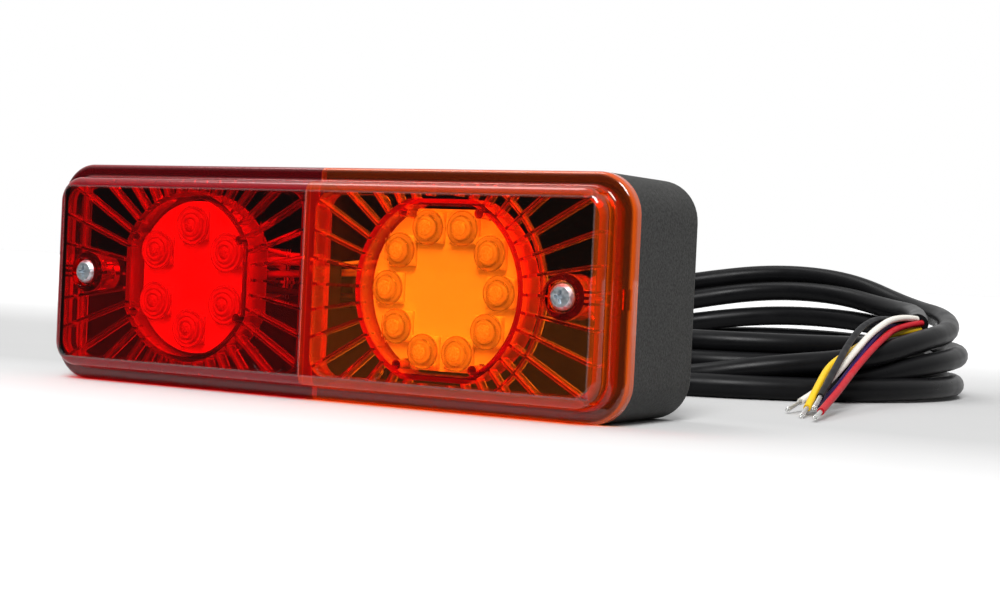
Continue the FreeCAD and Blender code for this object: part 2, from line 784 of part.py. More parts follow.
# Inside the housing each core bends from the end of the sheath to the back of a board.
WIRE_ROUTES = {
    "red": [(-31.66, 29.04), (-31.2, -8.0, 30.2), (-29.4, -13.8, 32.0), (-29.0, 33.0)],
    "black": [(-31.03, 27.08), (-30.8, -8.0, 26.6), (-29.3, -13.8, 25.0), (-29.0, 24.0)],
    "yellow": [(-28.34, 29.04), (-27.1, -8.6, 29.6), (-20.8, -12.0, 30.2), (-8.8, -9.5, 31.0),
               (9.0, -8.5, 31.8), (19.6, -10.5, 32.5), (25.4, -13.5, 33.0), (27.0, 33.2)],
    "violet": [(-28.97, 27.08), (-27.6, -8.6, 26.6), (-21.2, -12.0, 26.0), (-9.0, -9.5, 25.6),
               (9.0, -8.5, 25.2), (19.6, -10.5, 24.6), (25.4, -13.5, 24.2), (27.0, 24.0)],
    "white": [(-30.0, 30.25), (-29.4, -8.4, 31.4), (-25.2, -12.6, 33.2), (-19.2, -13.6, 33.8),
              (-14.0, -13.5, 33.6)],
}
JUMPER_ROUTES = [
    [(-6.0, -13.5, 34.2), (0.0, -11.6, 33.4), (9.5, -12.0, 34.6), (18.5, -13.6, 36.0),
     (23.0, -15.6, 36.6), (24.0, 36.8)],
    [(-14.0, -13.5, 35.2), (-18.6, -13.9, 35.8), (-22.4, -15.8, 36.8), (-24.0, 37.5)],
]


def inner_wires():
    sheath_end = value(INNER_WALL + " - lead_inside - fit_gap")
    board_back = value(BOARD_Y + " + board_thickness + fit_gap")
    for colour, route in WIRE_ROUTES.items():
        points = [(route[0][0], sheath_end, route[0][1])] + route[1:]
        if len(points[-1]) == 2:
            points[-1] = (points[-1][0], board_back, points[-1][1])
        name = "inner_wire_" + colour
        solid_feature(name, tube(name, points, value("core_radius")))
    keep(rod("splice_radius", "splice_length - 2 * fit_gap", "splice_across + fit_gap",
             "splice_behind", "splice_level", Rotation(Vector(0, 1, 0), 90)), "ground_splice")
    jumpers = []
    for route in JUMPER_ROUTES:
        points = route[:-1] + [(route[-1][0], board_back, route[-1][1])]
        jumpers.append(tube("ground jumper", points, value("strand_radius")))
    solid_feature("ground_jumpers", Part.makeCompound(jumpers))


# ---- assembly ----------------------------------------------------------------------

CHAMBERS = [
    {"side": -1, "colour": "red", "centre": "-chamber_offset", "upright": False,
     "leds": led_places("red_circle", 6, 30)},
    {"side": 1, "colour": "amber", "centre": "chamber_offset", "upright": True,
     "leds": led_places("amber_circle", 10, 0)},
]
RESISTOR_PLACES = [(-6, 12), (0, 12), (6, 12), (-6, -12), (0, -12), (6, -12)]

shell = lens_shell()
for chamber in CHAMBERS:
    lens(chamber, shell)
    board(chamber)
    led_bodies(chamber)
    optic_caps(chamber)
    surface_parts(chamber, RESISTOR_PLACES, "resistor", "resistors")
    surface_parts(chamber, [(2 * chamber["side"], 4)], "driver", "driver")
    surface_parts(chamber, [(2 * chamber["side"], -5)], "diode", "diode")
housing()
lens_seal()
chamber_divider()
lens_screws()
screw_seals()
rear_studs()
stud_seals()
grommet()
cable_inside()
cable_tie()
lead_tube()
cable_coil()
free_cores()
inner_wires()
doc.recompute()

# ---- checks and files --------------------------------------------------------------

for thing in doc.Objects:
    if "Invalid" in thing.State or "Error" in thing.State:
        raise ValueError("%s (%s) failed: %s" % (thing.Name, thing.Label, thing.State))
os.makedirs("parts", exist_ok=True)
for part in parts:
    shape = part.Shape
    if shape.isNull() or not shape.isValid() or not shape.Solids:
        raise ValueError(part.Label + ": bad shape")
    box = shape.BoundBox
    print("%-18s solids %2d volume %9.1f  x %.1f..%.1f y %.1f..%.1f z %.1f..%.1f" % (
        part.Label, len(shape.Solids), shape.Volume, box.XMin, box.XMax, box.YMin, box.YMax,
        box.ZMin, box.ZMax))
    shape.exportStep("parts/%s.step" % part.Label)
print(len(parts), "sub-parts written")
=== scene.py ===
import json
from math import cos, pi, radians, sin

import bmesh
import bpy
from mathutils import Matrix, Vector


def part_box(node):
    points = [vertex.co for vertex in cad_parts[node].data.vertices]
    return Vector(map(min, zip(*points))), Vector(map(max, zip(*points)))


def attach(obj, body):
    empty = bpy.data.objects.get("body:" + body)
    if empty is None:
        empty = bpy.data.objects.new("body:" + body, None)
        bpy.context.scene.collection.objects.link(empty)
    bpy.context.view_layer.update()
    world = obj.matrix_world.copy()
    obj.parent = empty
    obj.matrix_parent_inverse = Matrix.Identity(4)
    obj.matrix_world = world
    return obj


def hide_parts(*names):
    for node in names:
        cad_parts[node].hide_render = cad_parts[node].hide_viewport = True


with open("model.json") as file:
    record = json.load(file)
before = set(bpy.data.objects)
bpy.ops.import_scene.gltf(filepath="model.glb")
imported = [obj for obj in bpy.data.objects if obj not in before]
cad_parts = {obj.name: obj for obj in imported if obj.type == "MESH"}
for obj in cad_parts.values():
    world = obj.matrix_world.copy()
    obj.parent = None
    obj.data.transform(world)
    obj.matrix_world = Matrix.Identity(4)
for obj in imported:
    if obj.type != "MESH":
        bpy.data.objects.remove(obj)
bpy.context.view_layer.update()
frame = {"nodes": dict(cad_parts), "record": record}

RECORD_SLOTS = {part["node"]: part["material_slot"] for part in frame["record"]["subparts"]}
MM = 0.001
scene = bpy.context.scene
scene.view_settings.view_transform = "Standard"


def new_object(name, data):
    thing = bpy.data.objects.new(name, data)
    scene.collection.objects.link(thing)
    return thing


# ---- camera ------------------------------------------------------------------------

def make_camera():
    """Right of the lamp and slightly above its middle, leaning a little to one side."""
    yaw, pitch, roll = 0.5295, 0.0162, 0.0461
    forward = Vector((-sin(yaw) * cos(pitch), cos(yaw) * cos(pitch), -sin(pitch)))
    level_right = Vector((cos(yaw), sin(yaw), 0))
    level_up = level_right.cross(forward)
    right = level_right * cos(roll) + level_up * sin(roll)
    up = level_up * cos(roll) - level_right * sin(roll)
    camera = new_object("camera", bpy.data.cameras.new("camera"))
    camera.data.lens = 64.8
    camera.data.sensor_width = 36
    camera.data.clip_start = 0.01
    place = (0.26117, -0.3799, 0.03368)
    turn = Matrix((right, up, -forward)).transposed().to_4x4()
    camera.matrix_world = Matrix.Translation(place) @ turn
    scene.camera = camera


# ---- the lead and its cores --------------------------------------------------------

# Points of routes, and the radii and heights of the turns, are in millimetres.
LEAD_ROUTE = [(-30.0, 28.75, 28.5), (-30.0, 56.0, 28.5), (-33.4, 84.0, 13.0),
              (-40.5, 112.0, 3.8), (-47.6, 138.5, 3.5)]
LEAD_RADIUS = 3.4 * MM
COIL_CENTRE = (27.4, 170.5)
# Each turn's radius and height where it passes a side of the coil.
TURNS = [
    {"left": (77.2, 3.5), "far": (69.5, 3.5), "far_right": (72.0, 3.8), "right": (74.0, 4.2),
     "near_right": (75.5, 3.5), "near": (78.0, 3.5)},
    {"left": (70.4, 3.6), "far": (73.0, 9.4), "far_right": (73.8, 14.2), "right": (74.5, 12.9),
     "near_right": (68.0, 4.6), "near": (64.3, 3.6)},
    {"left": (73.8, 9.4), "far": (68.5, 14.6), "right": (64.0, 10.0), "near": (61.0, 9.6)},
    {"left": (66.9, 9.6), "far": (66.0, 22.8), "right": (60.0, 15.6), "near": (57.5, 15.5)},
    {"left": (70.0, 22.5), "far": (72.0, 38.2), "far_right": (71.5, 25.8), "right": (70.8, 20.0),
     "near_right": (71.5, 11.0), "near": (71.2, 3.6)},
    {"left": (65.5, 16.0), "far": (66.0, 32.0), "far_right": (62.5, 26.0), "right": (63.1, 22.9)},
]
SIDES = {"left": 180, "far": 90, "far_right": 45, "right": 0, "near_right": -45, "near": -90}
START_ANGLE, END_ANGLE = 190, -360 * 5 - 1
STEP_ANGLE = 22.5


def coil_stations():
    """Angle, radius and height where each turn passes each side, going clockwise."""
    stations = []
    for number, turn in enumerate(TURNS):
        for side, (radius, height) in turn.items():
            stations.append((SIDES[side] - 360 * number, radius, height))
    return stations


def coil_point(angle, stations):
    """A point of the coil's line, eased between the stations before and after it."""
    later = next((i for i, station in enumerate(stations) if station[0] <= angle), len(stations) - 1)
    before, after = stations[max(later - 1, 0)], stations[later]
    span = (before[0] - after[0]) or 1
    share = min(max((before[0] - angle) / span, 0), 1)
    share = share * share * (3 - 2 * share)
    radius = before[1] + (after[1] - before[1]) * share
    height = before[2] + (after[2] - before[2]) * share
    turn = radians(angle)
    return (COIL_CENTRE[0] + radius * cos(turn), COIL_CENTRE[1] + radius * sin(turn), height)


def coil_route():
    """The coil's line from where the lead joins it to the end of its sheath."""
    stations = coil_stations()
    angle, points = START_ANGLE, []
    while angle > END_ANGLE + STEP_ANGLE / 2:
        points.append(coil_point(angle, stations))
        angle -= STEP_ANGLE
    points.append(coil_point(END_ANGLE, stations))
    return points


CORE_RADIUS = 0.95 * MM
CORE_ROUTES = {
    "white": [(90.4, 168.7, 24.65), (88.4, 155.0, 25.6), (88.7, 132.5, 21.0), (90.4, 113.0, 15.5),
              (91.8, 96.5, 10.4), (92.1, 82.5, 6.0), (91.2, 69.5, 2.9)],
    "red": [(92.05, 168.7, 23.45), (89.1, 154.5, 22.4), (91.1, 132.5, 18.3), (93.5, 112.5, 14.0),
            (95.6, 96.0, 10.0), (99.9, 72.5, 5.5), (104.4, 49.0, 2.2)],
    "yellow": [(91.4, 168.7, 21.5), (88.6, 155.0, 20.2), (85.7, 137.5, 18.0), (88.2, 114.0, 15.1),
               (89.5, 95.0, 11.9), (93.8, 75.5, 7.6), (97.4, 58.0, 2.2)],
    "black": [(88.75, 168.7, 23.45), (85.1, 152.0, 25.1), (86.5, 129.0, 22.5), (89.4, 109.5, 17.4),
              (92.8, 92.5, 12.7), (95.9, 77.5, 8.6), (97.7, 66.5, 4.8)],
    "violet": [(89.4, 168.7, 21.5), (85.8, 156.5, 22.6), (88.2, 136.5, 19.6), (90.6, 117.0, 13.9),
               (92.5, 100.5, 8.9), (94.2, 85.5, 4.7), (94.5, 72.0, 2.0)],
}


def cord_curve(name, route, radius, material):
    """One smooth open line through a route given in millimetres, with a round section."""
    curve = bpy.data.curves.new(name, "CURVE")
    curve.dimensions = "3D"
    spline = curve.splines.new("NURBS")
    spline.points.add(len(route) - 1)
    for point, place in zip(spline.points, route):
        point.co = (*(Vector(place) * MM), 1)
    spline.order_u = 3
    spline.use_endpoint_u = True
    spline.resolution_u = 10
    curve.bevel_depth = radius
    curve.bevel_resolution = 6
    curve.use_fill_caps = True
    curve.materials.append(material)
    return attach(new_object(name, curve), "root")


def line_of(piece):
    """Points along a cord's smooth line."""
    bare = piece.data.copy()
    bare.bevel_depth = 0
    helper = bpy.data.objects.new("helper", bare)
    mesh = bpy.data.meshes.new_from_object(helper)
    points = [vertex.co.copy() for vertex in mesh.vertices]
    bpy.data.objects.remove(helper)
    return points


def length_of(points):
    return sum((b - a).length for a, b in zip(points, points[1:]))


# ---- materials ---------------------------------------------------------------------

class Shader:
    """A small helper that builds one node material."""

    def __init__(self, name):
        self.material = bpy.data.materials.new(name)
        self.material.use_nodes = True
        self.nodes = self.material.node_tree.nodes
        self.links = self.material.node_tree.links
        self.main = self.nodes["Principled BSDF"]
        self.output = self.nodes["Material Output"]

    def set(self, **values):
        for name, value in values.items():
            self.main.inputs[name.replace("_", " ")].default_value = value
        return self

    def add(self, kind, **settings):
        node = self.nodes.new(kind)
        for name, value in settings.items():
            if name in node.inputs:
                node.inputs[name].default_value = value
            else:
                setattr(node, name, value)
        return node

    def link(self, source, target):
        self.links.new(source, target)

    def coordinates(self):
        return self.add("ShaderNodeTexCoord").outputs["Object"]

    def noise(self, scale, detail=3.0, roughness=0.5):
        """Noise at a scale given in repeats per millimetre."""
        texture = self.add("ShaderNodeTexNoise")
        texture.inputs["Scale"].default_value = scale / MM
        texture.inputs["Detail"].default_value = detail
        texture.inputs["Roughness"].default_value = roughness
        self.link(self.coordinates(), texture.inputs["Vector"])
        return texture.outputs["Fac"]

    def split(self):
        """The x, y and z of the shaded point, in metres."""
        apart = self.add("ShaderNodeSeparateXYZ")
        self.link(self.coordinates(), apart.inputs[0])
        return apart.outputs

    def math(self, operation, first, second=0.0):
        node = self.add("ShaderNodeMath", operation=operation)
        for socket, source in zip(node.inputs, (first, second)):
            if isinstance(source, (int, float)):
                socket.default_value = source
            else:
                self.link(source, socket)
        return node.outputs[0]

    def length(self, first, second):
        """The length of a vector with two parts."""
        return self.math("POWER", self.math("ADD", self.math("MULTIPLY", first, first),
                                            self.math("MULTIPLY", second, second)), 0.5)

    def ramp(self, source, start, end, low, high):
        """Low up to start, high from end, and a straight change between them."""
        span = self.add("ShaderNodeMapRange")
        for socket, value in zip(span.inputs[1:5], (start, end, low, high)):
            socket.default_value = value
        self.link(source, span.inputs["Value"])
        return span.outputs["Result"]

    def spread(self, source, low, high):
        """Map a texture's 0.3 to 0.7 onto low to high."""
        return self.ramp(source, 0.3, 0.7, low, high)

    def highest(self, first, *others):
        """The largest of some values."""
        for other in others:
            first = self.math("MAXIMUM", first, other)
        return first

    def distance(self, source, place):
        """How far a coordinate is from a place, to either side."""
        return self.math("ABSOLUTE", self.math("SUBTRACT", source, place))

    def tint(self, source, dark, light):
        """Colour between two tones by a texture."""
        blend = self.add("ShaderNodeMix", data_type="RGBA")
        blend.inputs[6].default_value = (*dark, 1)
        blend.inputs[7].default_value = (*light, 1)
        self.link(source, blend.inputs[0])
        self.link(blend.outputs[2], self.main.inputs["Base Color"])

    def bump(self, source, height, distance):
        """Relief of the surface, with a distance in millimetres."""
        node = self.add("ShaderNodeBump")
        node.inputs["Strength"].default_value = height
        node.inputs["Distance"].default_value = distance * MM
        self.link(source, node.inputs["Height"])
        self.link(node.outputs["Normal"], self.main.inputs["Normal"])


def moulded(name, colour, roughness, grain=0.0, grain_scale=3.0, speck=0.15, shine=0.5):
    """Moulded plastic or rubber with a fine grain and slightly uneven gloss."""
    shader = Shader(name).set(Roughness=roughness, Specular_IOR_Level=shine)
    fine = shader.noise(grain_scale, 4)
    dark = tuple(channel * (1 - speck) for channel in colour)
    light = tuple(min(channel * (1 + speck), 1) for channel in colour)
    shader.tint(fine, dark, light)
    shader.link(shader.spread(shader.noise(0.3), roughness * 0.85, min(roughness * 1.15, 1)),
                shader.main.inputs["Roughness"])
    if grain:
        shader.bump(fine, grain, 0.1)
    return shader.material


def metal(name, colour, roughness, scratch=0.3):
    """Plated metal with uneven gloss and fine scratches."""
    shader = Shader(name).set(Metallic=1.0)
    rough = shader.noise(1.5, 5)
    shader.tint(rough, tuple(channel * 0.8 for channel in colour), colour)
    shader.link(shader.spread(rough, roughness * 0.7, roughness * 1.4),
                shader.main.inputs["Roughness"])
    shader.bump(shader.noise(4.0, 2), scratch, 0.05)
    return shader.material


def see_through(shader, shade):
    """Let light through to what lies behind: a shadow ray is tinted instead of blocked."""
    clear = shader.add("ShaderNodeBsdfTransparent", Color=(*shade, 1))
    path = shader.add("ShaderNodeLightPath")
    either = shader.add("ShaderNodeMixShader")
    shader.link(path.outputs["Is Shadow Ray"], either.inputs[0])
    shader.link(shader.main.outputs[0], either.inputs[1])
    shader.link(clear.outputs[0], either.inputs[2])
    shader.link(either.outputs[0], shader.output.inputs["Surface"])


# A lens from the outside in: its flange, the raised part in front of that, and the clear window.
LENS_LOW, LENS_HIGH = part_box("amber_lens")
LAMP_MIDDLE = (LENS_LOW[2] + LENS_HIGH[2]) / 2
FLANGE_SHAPE = (LENS_HIGH[0], LENS_HIGH[2] - LAMP_MIDDLE, 10.0 * MM)
RAISED_SHAPE = (81.0 * MM, 24.8 * MM, 6.5 * MM)
WINDOW_END, WINDOW_TOP = LENS_HIGH[0] - 7.2 * MM, 22.1 * MM
FACE_BACK = LENS_LOW[1] + 2.5 * MM
# Width over which the window's border fades in.
EASE = 0.6 * MM
# Depth in which the feet of the ribs fade, and shares of light that parts of a lens scatter.
ROOT_DEPTH, RIB_SHARE, RING_INSIDE_SHARE = 2.2 * MM, 0.12, 0.25
# The last two set the painted highlight along the seam.
INNER_SCATTER, FLANGE_SHARE, SEAM_HIGHLIGHT_SCATTER, SEAM_HIGHLIGHT_STRENGTH = 0.42, 0.35, 0.25, 0.9

CHAMBERS = {
    "red": {"middle": -37.7 * MM, "ring_radius": 21.6 * MM, "ring_flat": 19.7 * MM, "flat_ends": True,
            "circle": 13.1 * MM, "sources": 6, "first_source": pi / 6},
    "amber": {"middle": 37.7 * MM, "ring_radius": 23.0 * MM, "ring_flat": 21.2 * MM, "flat_ends": False,
              "circle": 15.3 * MM, "sources": 10, "first_source": 0.0},
}
# glow is the tone of scattered light. mark is the middle, half width, half height and corner radius
# of the fine outline on the face beside the seam.
LENSES = {
    "red": {"dye": (0.965, 0.02, 0.02), "density": 1.3, "glow": (0.8, 0.004, 0.025),
            "rim_scatter": 0.16, "lip_scatter": 0.2,
            "mark": (-9.05 * MM, 4.25 * MM, 22.1 * MM, 2.2 * MM)},
    "amber": {"dye": (0.995, 0.715, 0.1), "density": 1.0, "glow": (1.0, 0.13, 0.005),
              "rim_scatter": 0.15, "lip_scatter": 0.45,
              "mark": (14.7 * MM, 9.3 * MM, 21.8 * MM, 2.6 * MM)},
}


def folded_rim(shader):
    """1 in the rim and walls of a lens, outside its window."""
    x, _, z = shader.split()
    across, level = shader.distance(x, 0.0), shader.distance(z, LAMP_MIDDLE)
    return shader.highest(shader.ramp(across, WINDOW_END, WINDOW_END + EASE, 0.0, 1.0),
                          shader.ramp(level, WINDOW_TOP, WINDOW_TOP + EASE, 0.0, 1.0))


def folded_inside(shader, chamber):
    """How much of the ring and the feet of the ribs, behind the face plate, scatters light."""
    x, y, z = shader.split()
    behind = shader.ramp(y, FACE_BACK + 0.1 * MM, FACE_BACK + 0.3 * MM, 0.0, 1.0)
    foot = shader.ramp(y, FACE_BACK + 0.5 * MM, FACE_BACK + ROOT_DEPTH, 1.0, RIB_SHARE)
    across = shader.math("SUBTRACT", x, chamber["middle"])
    level = shader.math("SUBTRACT", z, LAMP_MIDDLE)
    from_ring = shader.math("SUBTRACT", shader.length(across, level), chamber["ring_radius"])
    flattened = shader.math("ABSOLUTE", across if chamber["flat_ends"] else level)
    from_flat = shader.math("SUBTRACT", flattened, chamber["ring_flat"])
    from_wall = shader.highest(from_ring, from_flat)
    ring = shader.math("MULTIPLY",
                       shader.ramp(from_wall, -0.9 * MM, -0.6 * MM, RING_INSIDE_SHARE, 1.0),
                       shader.ramp(from_wall, 0.2 * MM, 0.5 * MM, 1.0, 0.0))
    return shader.math("MULTIPLY", behind, shader.highest(foot, ring))


def from_outline(shader, middle, half_width, half_height, corner):
    """How far outside a rectangle with round corners, seen along Y, a point lies."""
    x, _, z = shader.split()
    across = shader.math("SUBTRACT", shader.distance(x, middle), half_width - corner)
    level = shader.math("SUBTRACT", shader.distance(z, LAMP_MIDDLE), half_height - corner)
    outside = shader.length(shader.highest(across, 0.0), shader.highest(level, 0.0))
    inside = shader.math("MINIMUM", shader.highest(across, level), 0.0)
    return shader.math("SUBTRACT", shader.math("ADD", outside, inside), corner)


def lens_plastic(colour):
    """Acrylic that is coloured through. Its thick and folded parts also scatter some light."""
    looks, chamber = LENSES[colour], CHAMBERS[colour]
    shader = Shader(colour + "_lens_plastic").set(Roughness=0.02, IOR=1.49)
    rim, inside = folded_rim(shader), folded_inside(shader, chamber)
    from_raised = from_outline(shader, 0.0, *RAISED_SHAPE)
    rim_level = shader.ramp(from_raised, 0.1 * MM, 0.5 * MM,
                            looks["rim_scatter"], looks["rim_scatter"] * FLANGE_SHARE)
    from_edge = from_outline(shader, 0.0, *FLANGE_SHAPE)
    lip_share = shader.ramp(from_edge, -1.0 * MM, -0.4 * MM, 0.0, looks["lip_scatter"])
    # Painted highlight: a thin stripe along the seam scatters light in the glow tone, standing in for the
    # bright line of the seam's edges.
    seam = shader.ramp(shader.distance(shader.split()[0], 0.0), 0.1 * MM, 0.3 * MM, SEAM_HIGHLIGHT_STRENGTH, 0.0)
    share = shader.highest(shader.math("MULTIPLY", rim, rim_level), lip_share,
                           shader.math("MULTIPLY", inside, INNER_SCATTER),
                           shader.math("MULTIPLY", seam, SEAM_HIGHLIGHT_SCATTER))
    shader.link(shader.math("SUBTRACT", 1.0, share), shader.main.inputs["Transmission Weight"])
    shader.tint(shader.highest(rim, inside, seam), (1, 1, 1), looks["glow"])
    ripple = shader.math("MULTIPLY", shader.noise(0.05, 2), 0.15)
    from_mark = shader.math("ABSOLUTE", from_outline(shader, *looks["mark"]))
    mark = shader.ramp(from_mark, 0.0, 0.22 * MM, 1.0, 0.0)
    shader.bump(shader.math("ADD", ripple, mark), 0.3, 0.1)
    see_through(shader, (0.96, 0.96, 0.96))
    dye = shader.add("ShaderNodeVolumeAbsorption", Color=(*looks["dye"], 1),
                     Density=looks["density"] / MM)
    shader.link(dye.outputs[0], shader.output.inputs["Volume"])
    return shader.material


# A fine ring of a cap is painted shade for the dark edge of a step. It is darkest up to RING_CORE
# from its radius, and fades out at RING_EDGE.
RING_CORE, RING_EDGE = 0.08 * MM, 0.26 * MM
# rings holds the radius and the strength of the painted shade of each ring, the dome's last. body
# and dome are the shares of light that the cap scatters outside and inside the dome's ring.
CAPS = {
    "red": {"rings": [(4.85 * MM, 0.5), (3.9 * MM, 0.35), (3.0 * MM, 0.4), (1.7 * MM, 0.45)],
            "body": 0.5, "dome": 0.6},
    "amber": {"rings": [(4.05 * MM, 0.6), (2.9 * MM, 0.6), (1.9 * MM, 0.5)],
              "body": 0.3, "dome": 0.65},
}


def from_source(shader, chamber):
    """Distance of a point, seen along Y, from the nearest light source on a chamber's circle."""
    x, _, z = shader.split()
    across = shader.math("SUBTRACT", x, chamber["middle"])
    level = shader.math("SUBTRACT", z, LAMP_MIDDLE)
    step = 2 * pi / chamber["sources"]
    turn = shader.math("SUBTRACT", shader.math("ARCTAN2", level, across),
                       chamber["first_source"] - step / 2)
    turn = shader.math("SUBTRACT", shader.math("FLOORED_MODULO", turn, step), step / 2)
    reach = shader.length(across, level)
    outward = shader.math("MULTIPLY", reach, shader.math("COSINE", turn))
    sideways = shader.math("MULTIPLY", reach, shader.math("SINE", turn))
    return shader.length(shader.math("SUBTRACT", outward, chamber["circle"]), sideways)


def cap_plastic(name, colour):
    """Clear moulded caps with a mottled dome and fine rings of painted shade for the dark edges of the
    steps.
    """
    looks = CAPS[colour]
    shader = Shader(name).set(Roughness=0.03, IOR=1.4)
    radius = from_source(shader, CHAMBERS[colour])
    # Painted shade: each ring darkens the cap's colour, standing in for the dark edge of a step.
    rings = [shader.ramp(shader.distance(radius, place), RING_CORE, RING_EDGE, strength, 0.0)
             for place, strength in looks["rings"]]
    dome_radius = looks["rings"][-1][0]
    dome = shader.ramp(radius, dome_radius - 0.3 * MM, dome_radius, 1.0, 0.0)
    mottle = shader.math("MULTIPLY", shader.spread(shader.noise(2.2, 2), 0.0, 0.7), dome)
    shader.tint(shader.highest(*rings, mottle), (0.99, 0.99, 0.99), (0.3, 0.3, 0.3))
    shader.link(shader.ramp(dome, 0.0, 1.0, 1 - looks["body"], 1 - looks["dome"]),
                shader.main.inputs["Transmission Weight"])
    shader.bump(shader.noise(0.6, 3), 0.15, 0.1)
    see_through(shader, (0.95, 0.95, 0.95))
    return shader.material


def sheath(name):
    """Smooth black PVC: a broad soft sheen with faint scuffs."""
    shader = Shader(name).set(Specular_IOR_Level=0.1)
    scuff = shader.noise(0.12, 6, 0.65)
    shader.tint(scuff, (0.003, 0.003, 0.0035), (0.007, 0.007, 0.0075))
    shader.link(shader.spread(scuff, 0.26, 0.42), shader.main.inputs["Roughness"])
    shader.bump(shader.noise(1.5, 4), 0.08, 0.06)
    return shader.material


HOUSING_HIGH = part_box("housing")[1]
HOUSING_SHAPE = (HOUSING_HIGH[0], HOUSING_HIGH[2] - LAMP_MIDDLE, 9.0 * MM)
HALF_WALL = 1.2 * MM


def sand_textured(name):
    """Black plastic, sandblasted outside with fine pits and paler grains; smooth inside, with painted
    shade that makes it darker.
    """
    shader = Shader(name).set(Specular_IOR_Level=0.12)
    past_side = shader.math("GREATER_THAN", from_outline(shader, 0.0, *HOUSING_SHAPE), -HALF_WALL)
    past_back = shader.math("GREATER_THAN", shader.split()[1], HOUSING_HIGH[1] - HALF_WALL)
    outside = shader.highest(past_side, past_back)
    grain = shader.noise(1.6, 3, 0.7)
    # Painted shade: the inner faces keep the darkest tone, so the inside looks darker than the outside.
    shade = shader.math("MULTIPLY", shader.spread(grain, 0.25, 1.0), outside)
    shader.tint(shade, (0.003, 0.003, 0.003), (0.052, 0.052, 0.05))
    shader.link(shader.ramp(outside, 0.0, 1.0, 1.0, 0.6), shader.main.inputs["Roughness"])
    shader.bump(shader.math("MULTIPLY", grain, outside), 0.6, 0.18)
    return shader.material


CORE_SHADES = {
    "yellow": (0.7, 0.44, 0.01),
    "black": (0.008, 0.008, 0.009),
    "white": (0.66, 0.63, 0.57),
    "red": (0.4, 0.004, 0.012),
    "violet": (0.022, 0.006, 0.075),
}


def make_materials():
    """A material for each slot of the record, and one more for the amber caps."""
    return {
        "red_lens_plastic": lens_plastic("red"),
        "amber_lens_plastic": lens_plastic("amber"),
        "housing_plastic": sand_textured("housing_plastic"),
        "seal_rubber": moulded("seal_rubber", (0.02, 0.02, 0.02), roughness=0.6, grain=0.2),
        "zinc_steel": metal("zinc_steel", (0.84, 0.9, 0.95), roughness=0.44),
        "stud_steel": metal("stud_steel", (0.66, 0.66, 0.64), roughness=0.35),
        "board_white": moulded("board_white", (0.9, 0.9, 0.88), roughness=0.4,
                               grain_scale=1.0, speck=0.04),
        "led_package": moulded("led_package", (0.9, 0.88, 0.8), roughness=0.3,
                               grain_scale=1.0, speck=0.05),
        "clear_optic": cap_plastic("clear_optic", "red"),
        "amber_caps": cap_plastic("amber_caps", "amber"),
        "chip_black": moulded("chip_black", (0.02, 0.02, 0.02), roughness=0.5, grain=0.2),
        "ceramic": moulded("ceramic", (0.08, 0.08, 0.09), roughness=0.4, grain=0.1),
        "divider_plastic": moulded("divider_plastic", (0.03, 0.03, 0.03), roughness=0.6, grain=0.3),
        "nylon": moulded("nylon", (0.8, 0.8, 0.74), roughness=0.45, grain=0.1),
        "cable_sheath": sheath("cable_sheath"),
        "tinned_copper": metal("tinned_copper", (0.8, 0.8, 0.78), roughness=0.35),
        **{"core_" + name: moulded("core_" + name, shade, roughness=0.45, grain=0.03, shine=0.08)
           for name, shade in CORE_SHADES.items()},
    }


def dress_nodes(materials):
    """Give each CAD node the material of its slot."""
    for name, node in frame["nodes"].items():
        node.data.materials.clear()
        node.data.materials.append(materials[RECORD_SLOTS[name]])


# ---- stage and light ---------------------------------------------------------------

# How far the floor reaches, and the Y of the line where its mirrored part starts, in metres.
FLOOR_REACH = 12.0
MIRRORED_FROM = -0.07
# Painted shadow makes the floor greyest between the middle two of these Ys, and it is palest beyond the
# outer ones.
UNSHADED_IN_FRONT, PAINTED_SHADOW_FROM, PAINTED_SHADOW_TO, UNSHADED_BEHIND = -0.11, 0.03, 0.22, 0.6


def floor_part(name, near, far, material):
    """The floor between two Ys."""
    corners = [(-FLOOR_REACH, near, 0), (FLOOR_REACH, near, 0),
               (FLOOR_REACH, far, 0), (-FLOOR_REACH, far, 0)]
    data = bpy.data.meshes.new(name)
    data.from_pydata(corners, [], [(0, 1, 2, 3)])
    data.materials.append(material)
    part = new_object(name, data)
    return part


def make_stage():
    """A pale floor, greyer round the lamp with painted shadow. Its part in front isn't mirrored in glossy
    faces.
    """
    shader = Shader("floor_paper").set(Roughness=0.9, Specular_IOR_Level=0.1)
    y = shader.split()[1]
    # The painted shadow fades out towards the front and far behind.
    outside_painted_shadow = shader.highest(shader.ramp(y, UNSHADED_IN_FRONT, PAINTED_SHADOW_FROM, 1.0, 0.0),
                           shader.ramp(y, PAINTED_SHADOW_TO, UNSHADED_BEHIND, 0.0, 1.0))
    speckle = shader.math("MULTIPLY", shader.noise(0.02, 2), 0.06)
    shader.tint(shader.math("ADD", outside_painted_shadow, speckle), (0.42, 0.42, 0.42), (0.71, 0.71, 0.71))
    floor_part("floor", MIRRORED_FROM, FLOOR_REACH, shader.material)
    front = floor_part("floor_front", -FLOOR_REACH, MIRRORED_FROM, shader.material)
    front.visible_glossy = False


